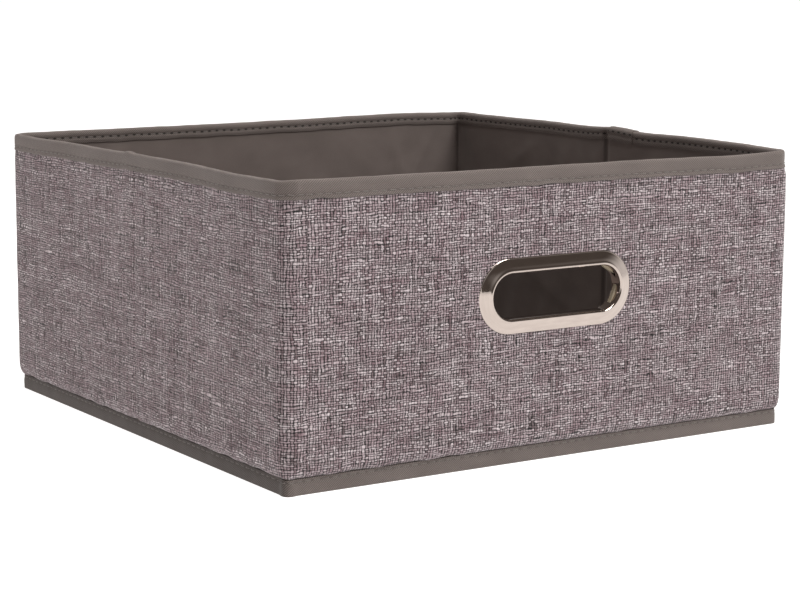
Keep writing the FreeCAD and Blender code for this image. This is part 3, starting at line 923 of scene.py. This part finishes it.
def tape_texture(u, d, z, du, zu):
    """Needle holes and puffs along the rows, wavering edges, and the grooves at the creases."""
    outside = d < TAPE_MID
    row = np.where(outside, ROW_OUT, ROW_IN)
    hole = bell(np.mod(u, STITCH) - STITCH / 2, 0.8) * bell(z - row, 0.7)
    puff = 0.07 * np.cos(TAU * u / STITCH) * bell(z - row, 2.0)
    sink = np.where(outside, 0.1, 0.22) * hole + puff
    body = smooth(1.9, 0.6, d) - smooth(1.9, 3.2, d)
    wander = 0.22 * pucker_wave(u, 3.0) * np.where(outside, 1, 0.8) * smooth(RIM - 2, RIM - 6, z)
    top = 0.05 * pucker_wave(u, 5.0) * smooth(RIM - 3, RIM, z)
    groove = inner_groove(u, z) * smooth(1.9, 3.2, d)
    groove_under = inner_groove(u, zu) * smooth(1.9, 3.0, du)
    return d + sink * body - groove, z + wander + top, du - groove_under, zu + wander + top


wall_layer("tape", tape_face, tape_under, TAPE, "rim_tape", TAPE_STEP,
           tape_texture, depth=TAPE_MID, held="folded")
thread_row("thread_rim_outside", TAPE_FACE + 0.2, ROW_OUT, -1, TAPE_MID)
thread_row("thread_rim_inside", TAPE_IN - 0.42, ROW_IN, 1, TAPE_MID)

# the tape's end laps over its start on the right wall, in front of the crease
OVERLAP = {"right": (MID_RIGHT - 26, MID_RIGHT - 5, ("right_front",), None, [])}
lap_face, lap_under = inner_of(tape_face, -0.5), inner_of(tape_face, -0.03)
wall_layer("tape_lap", lap_face, lap_under, TAPE, None, TAPE_STEP, tape_texture,
           depth=TAPE_MID, sections=OVERLAP, held="folded")

# bottom binding: a tape folded under the seam allowance
ROW_BIND, GROOVE_BIND = SEAM - 1.35, BIND_OUT + 0.3  # height and depth of its stitched groove
bind_face = refine([
    (BIND_IN, SEAM - 0.2), (BIND_IN, SEAM - 3.5), (BIND_IN, 1.0), (BIND_IN - 0.25, 0.25),
    (BIND_IN - 0.8, 0.0),
    (BIND_OUT + 0.2, 0.0), (BIND_OUT - 0.1, 0.12), (BIND_OUT - 0.14, 1.0), (BIND_OUT - 0.12, 4.5),
    (BIND_OUT + 0.02, SEAM - 2.2), (GROOVE_BIND, ROW_BIND), (BIND_OUT + 0.1, SEAM - 0.7),
    (BIND_OUT + 0.35, SEAM - 0.05)], 0.8)
bind_under = inner_of(bind_face, 0.55)
# the binding round the left wall gets painted shade, standing in for the dimmer light on that side
BINDING = tape_material("foot_twill", [(row_at(bind_face, GROOVE_BIND, ROW_BIND), 0.2)],
                        [(U_LEFT - ARC, U_FL + ARC / 2, 0.42)])


def bind_texture(u, d, z, du, zu):
    """The binding wavers in and out."""
    w = 0.12 * pucker_wave(u, 8.0) * smooth(0, 4, z)
    return d - w, z, du - w, zu


for where, lifts in (({**FRONT, **CORNERS}, False), ({**BACK, **HALVES}, True)):
    wall_layer("binding", bind_face, bind_under, BINDING, "bottom_binding", 2.0, bind_texture,
               depth=BIND_OUT, sections=where, held="folded", lifts=lifts)
    thread_row("thread_binding", GROOVE_BIND, ROW_BIND, -1, BIND_OUT, where, lifts)


# ---------------------------------------------------------------- handle grommet and its clamp ring

RING_LONGER, RING_SHIFT = 0.8, 0.3  # at each end, and towards +X, against the CAD's ring


def stand_in(obj, body, cad):
    """A piece that rides on one body, and the CAD node that it replaces."""
    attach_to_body(obj, body)
    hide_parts(cad)


def obround(radius, y, count=30, side=18):
    """Points of an obround loop round the handle opening, over the top towards +X."""
    turn = np.linspace(0, math.pi, count + 1)
    flat = np.linspace(-1, 1, side + 1)[1:-1]
    half = LINE + RING_LONGER
    out, up = radius * np.sin(turn), radius * np.cos(turn)
    x = np.concatenate([flat * half, half + out, -flat * half, -half - out]) + RING_SHIFT
    z = np.concatenate([0 * flat + radius, up, 0 * flat - radius, -up]) + HANDLE_Z
    return np.stack([x, 0 * x + y, z], -1)


def ring_piece(name, face, under, cad):
    """A ring round the handle opening from profiles of (radius, y) points."""
    grids = [np.stack([obround(r, y) for r, y in prof], 1) for prof in (face, under)]
    steps = np.linalg.norm(np.diff(grids[0][:, 0], axis=0, append=grids[0][:1, 0]), axis=1)
    u = np.concatenate([[0], np.cumsum(steps)[:-1]])
    v = length_along(np.array(face))
    uv = np.stack(np.broadcast_arrays(u[:, None], v[None, :]), -1)
    obj = thick(name, *grids, uv, METAL, closed=True)
    stand_in(obj, "front_wall", cad)


FRONT_FACE, CREST = -HALF, GROMMET_LO[1]
THROAT = HOLE_R - 1.15  # the rolled edge narrows the opening a little
METAL_THICK = 0.55
grommet_face = refine([
    (THROAT + 0.15, GROMMET_HI[1]), (THROAT + 0.05, GROMMET_HI[1] - 1.5), (THROAT, GROMMET_HI[1] - 4),
    (THROAT + 0.05, FRONT_FACE - 0.9), (THROAT + 0.25, CREST + 0.75), (THROAT + 0.6, CREST + 0.25),
    (THROAT + 1.1, CREST), (THROAT + 1.6, CREST + 0.1), (THROAT + 2.1, CREST + 0.32),
    (THROAT + 3.7, CREST + 0.86), (THROAT + 5.6, CREST + 1.6), (FLANGE_R - 0.7, CREST + 2.15),
    (FLANGE_R - 0.15, FRONT_FACE - 0.3), (FLANGE_R, FRONT_FACE - 0.02)], 0.25)
ring_piece("grommet", grommet_face, inner_of(grommet_face, -METAL_THICK), "handle_grommet")
clamp_face = refine([
    (FLANGE_R - 0.1, CLAMP_LO[1] + 0.02), (FLANGE_R - 0.15, CLAMP_HI[1] - 0.6),
    (FLANGE_R - 0.6, CLAMP_HI[1] - 0.1), (FLANGE_R - 1.5, CLAMP_HI[1]), (HOLE_R + 2.2, CLAMP_HI[1]),
    (HOLE_R + 1.5, CLAMP_HI[1] - 0.1), (HOLE_R + 1.2, CLAMP_HI[1] - 0.6),
    (HOLE_R + 1.15, CLAMP_LO[1] + 0.02)], 0.35)
clamp_back = np.stack([clamp_face[:, 0], 0 * clamp_face[:, 0] + CLAMP_LO[1] + 0.01], -1)
ring_piece("clamp_ring", clamp_face, clamp_back, "handle_clamp_ring")


# ---------------------------------------------------------------- base cloth, base board and its cover


def square_loop(half, radius, side=44, corner=7):
    """A loop round a square with rounded corners, counterclockwise from the front left."""
    radius = min(radius, half * 0.6)
    flat = np.linspace(-1, 1, side + 1)[:, None] * (half - radius)
    out = []
    for k in range(4):
        c, s = math.cos(k * math.pi / 2), math.sin(k * math.pi / 2)
        t = np.linspace(0, math.pi / 2, corner + 1)[1:-1]
        line = np.hstack([flat, 0 * flat - half])
        bend = np.stack([half - radius + radius * np.sin(t), radius - half - radius * np.cos(t)], -1)
        p = np.vstack([line, bend])
        out.append(np.stack([c * p[:, 0] - s * p[:, 1], s * p[:, 0] + c * p[:, 1]], -1))
    return np.vstack(out)


def ringed(profile, radius):
    """A grid [station, profile point] from a profile of (half size, z) points."""
    loops = [square_loop(max(h, 0.0), radius) for h, _ in profile]
    return np.stack([np.insert(loop, 2, z, axis=1) for loop, (_, z) in zip(loops, profile)], 1)


def weld(obj):
    """Merges the points where a grid's loops shrink to one."""
    b = bmesh.new()
    b.from_mesh(obj.data)
    bmesh.ops.remove_doubles(b, verts=b.verts, dist=1e-6)
    b.to_mesh(obj.data)
    b.free()


def flat_uv(profile, radius):
    """Where each point lies on the cloth before it was folded."""
    run = length_along(profile)
    middle = abs(profile[0][0]) > 1  # the profile ends in the middle
    spread = (run[-1] - run) if middle else run
    return np.stack([square_loop(max(h, 0.0), radius) for h in spread], 1)


def base_cloth():
    """The bottom cloth: a flat tray, turned up inside the bindings."""
    half, low, high = BASE_CLOTH_HI[0], BASE_CLOTH_LO[2], BASE_CLOTH_HI[2]
    tray = np.array([(h, low) for h in np.linspace(0, half - 3, 26)]
                    + [(half - 1, low + 0.1), (half - 0.25, low + 0.6), (half, low + 1.6), (half, high)])
    inside = inner_of(tray, -0.5)
    inside[0, 0] = 0
    obj = thick("base_cloth", ringed(tray, 5), ringed(inside, 5), flat_uv(tray, 5), LINING, closed=True)
    weld(obj)
    stand_in(obj, "front_wall", "bottom_cloth")
    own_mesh(obj)


def base_board():
    """The loose board, with its edges broken."""
    half, low, high = BASE_BOARD_HI[0], BASE_BOARD_LO[2], BASE_BOARD_HI[2]
    rings = np.linspace(0, half - 6, 14)
    slab = np.array([(h, low) for h in rings]
                    + [(half - 0.5, low), (half, low + 0.4), (half, high - 0.4), (half - 0.5, high)]
                    + [(h, high) for h in rings[::-1]])
    grid = ringed(slab, 4)
    nj, ni = grid.shape[:2]
    faces = []
    for j in range(nj):
        one, two = j * ni, (j + 1) % nj * ni
        faces += [[one + i, two + i, two + i + 1, one + i + 1] for i in range(ni - 1)]
    obj = make_object("base_board_core", grid.reshape(-1, 3), faces, grid[..., :2].reshape(-1, 2), BOARD)
    weld(obj)
    stand_in(obj, "base_insert", "base_board")


def cover_ripple(x, y):
    """Slack in the cover's top, none at its edges."""
    edge = smooth(0, 30, COVER_HI[0] - np.maximum(np.abs(x), np.abs(y)))
    across, deep = np.sin(x / 17 + 1.2 * np.sin(y / 41)), np.sin(y / 23 + 0.8 * np.sin(x / 37))
    return 0.144 * edge * (across * deep + 1)


def cover_grid(profile):
    g = ringed(profile, 5)
    top = g[..., 2] > (COVER_LO[2] + COVER_HI[2]) / 2
    g[..., 2] += np.where(top, cover_ripple(g[..., 0], g[..., 1]), 0)
    return g


def base_board_cover():
    """The board's cloth: over the top and turned under at the edges."""
    half, low, high = COVER_HI[0], COVER_LO[2], COVER_HI[2]
    turned = 28  # width turned under the board
    rings = np.linspace(0, half - 3, 40)[::-1]
    cover = np.array([(half - turned, low), (half - 18, low), (half - 8, low), (half - 1.2, low),
                      (half - 0.3, low + 0.25), (half, low + 0.9), (half, high - 0.9),
                      (half - 0.3, high - 0.25), (half - 1.2, high)] + [(h, high) for h in rings])
    inside = inner_of(cover, 0.4)
    inside[-1, 0] = 0
    grids = cover_grid(cover), cover_grid(inside)
    obj = thick("base_board_cloth", *grids, flat_uv(cover, 5), LINING, closed=True)
    weld(obj)
    stand_in(obj, "base_insert", "base_board_cover")


base_cloth()
base_board()
base_board_cover()


# ---------------------------------------------------------------- studio
scene = bpy.context.scene
scene.view_settings.view_transform = "Standard"


def studio_world():
    """White all round below, dimmer above and towards the front left, for the metal to reflect."""
    world = bpy.data.worlds.new("studio")
    scene.world = world
    world.use_nodes = True
    tree = world.node_tree
    tree.nodes.clear()
    direction = tree.nodes.new("ShaderNodeTexCoord")
    split = tree.nodes.new("ShaderNodeSeparateXYZ")
    tree.links.new(direction.outputs["Generated"], split.inputs[0])
    x, y, z = (Val(tree, split.outputs[i]) for i in range(3))
    up = z.between(0.1, 0.4)
    front_left = (x * -0.42 + y * -0.91).between(0.72, 0.93)
    dim = 1 - (1 - up) * (1 - front_left)
    background = tree.nodes.new("ShaderNodeBackground")
    tree.links.new(tint((1.0, 0.99, 0.98, 1), (0.11, 0.095, 0.085, 1), dim), background.inputs["Color"])
    output = tree.nodes.new("ShaderNodeOutputWorld")
    tree.links.new(background.outputs[0], output.inputs[0])


def floor():
    """A plain white floor just under the object."""
    half = 40
    mesh = bpy.data.meshes.new("floor")
    corners = [(x * half, y * half, 0) for x, y in ((-1, -1), (1, -1), (1, 1), (-1, 1))]
    mesh.from_pydata(corners, [], [(0, 1, 2, 3)])
    obj = bpy.data.objects.new("floor", mesh)
    obj.location.z = -0.00002
    scene.collection.objects.link(obj)
    mat = bpy.data.materials.new("floor_white")
    mat.use_nodes = True
    shader = next(n for n in mat.node_tree.nodes if n.type == "BSDF_PRINCIPLED")
    shader.inputs["Base Color"].default_value = (0.35, 0.35, 0.35, 1)
    shader.inputs["Roughness"].default_value = 0.9
    shader.inputs["Emission Color"].default_value = (1, 0.995, 0.985, 1)
    shader.inputs["Emission Strength"].default_value = 0.95
    mesh.materials.append(mat)


def area_light(name, direction, distance, size, power, colour=(1, 0.98, 0.96)):
    """A square light that shines on the object from a direction."""
    light = bpy.data.lights.new(name, "AREA")
    light.shape, light.size, light.energy, light.color = "SQUARE", size, power, colour
    obj = bpy.data.objects.new(name, light)
    scene.collection.objects.link(obj)
    d = Vector(direction).normalized()
    obj.location = d * distance + Vector((0, 0, 0.08))
    obj.rotation_euler = d.to_track_quat("Z", "Y").to_euler()
    obj.visible_camera = False


studio_world()
floor()
area_light("key", (0.28, -0.62, 0.8), 2.6, 1.0, 48)
area_light("overhead", (0.0, -0.1, 1.0), 2.4, 1.4, 42)
area_light("side_fill", (-0.9, 0.45, 0.12), 1.1, 0.5, 1.1, (1, 0.78, 0.72))

CAMERA_AT = (-0.654708, -1.020516, 0.256907)
AZIMUTH, ELEVATION, ROLL = (math.radians(angle) for angle in (-33.05, 9.28, 0.26))
lens = bpy.data.cameras.new("camera")
lens.sensor_width, lens.lens = 36.0, 99.76
lens.clip_start, lens.clip_end = 0.05, 200
camera = bpy.data.objects.new("camera", lens)
turn = (Matrix.Rotation(AZIMUTH, 4, "Z") @ Matrix.Rotation(math.pi / 2 - ELEVATION, 4, "X")
        @ Matrix.Rotation(ROLL, 4, "Z"))
camera.matrix_world = Matrix.Translation(CAMERA_AT) @ turn
scene.collection.objects.link(camera)
scene.camera = camera
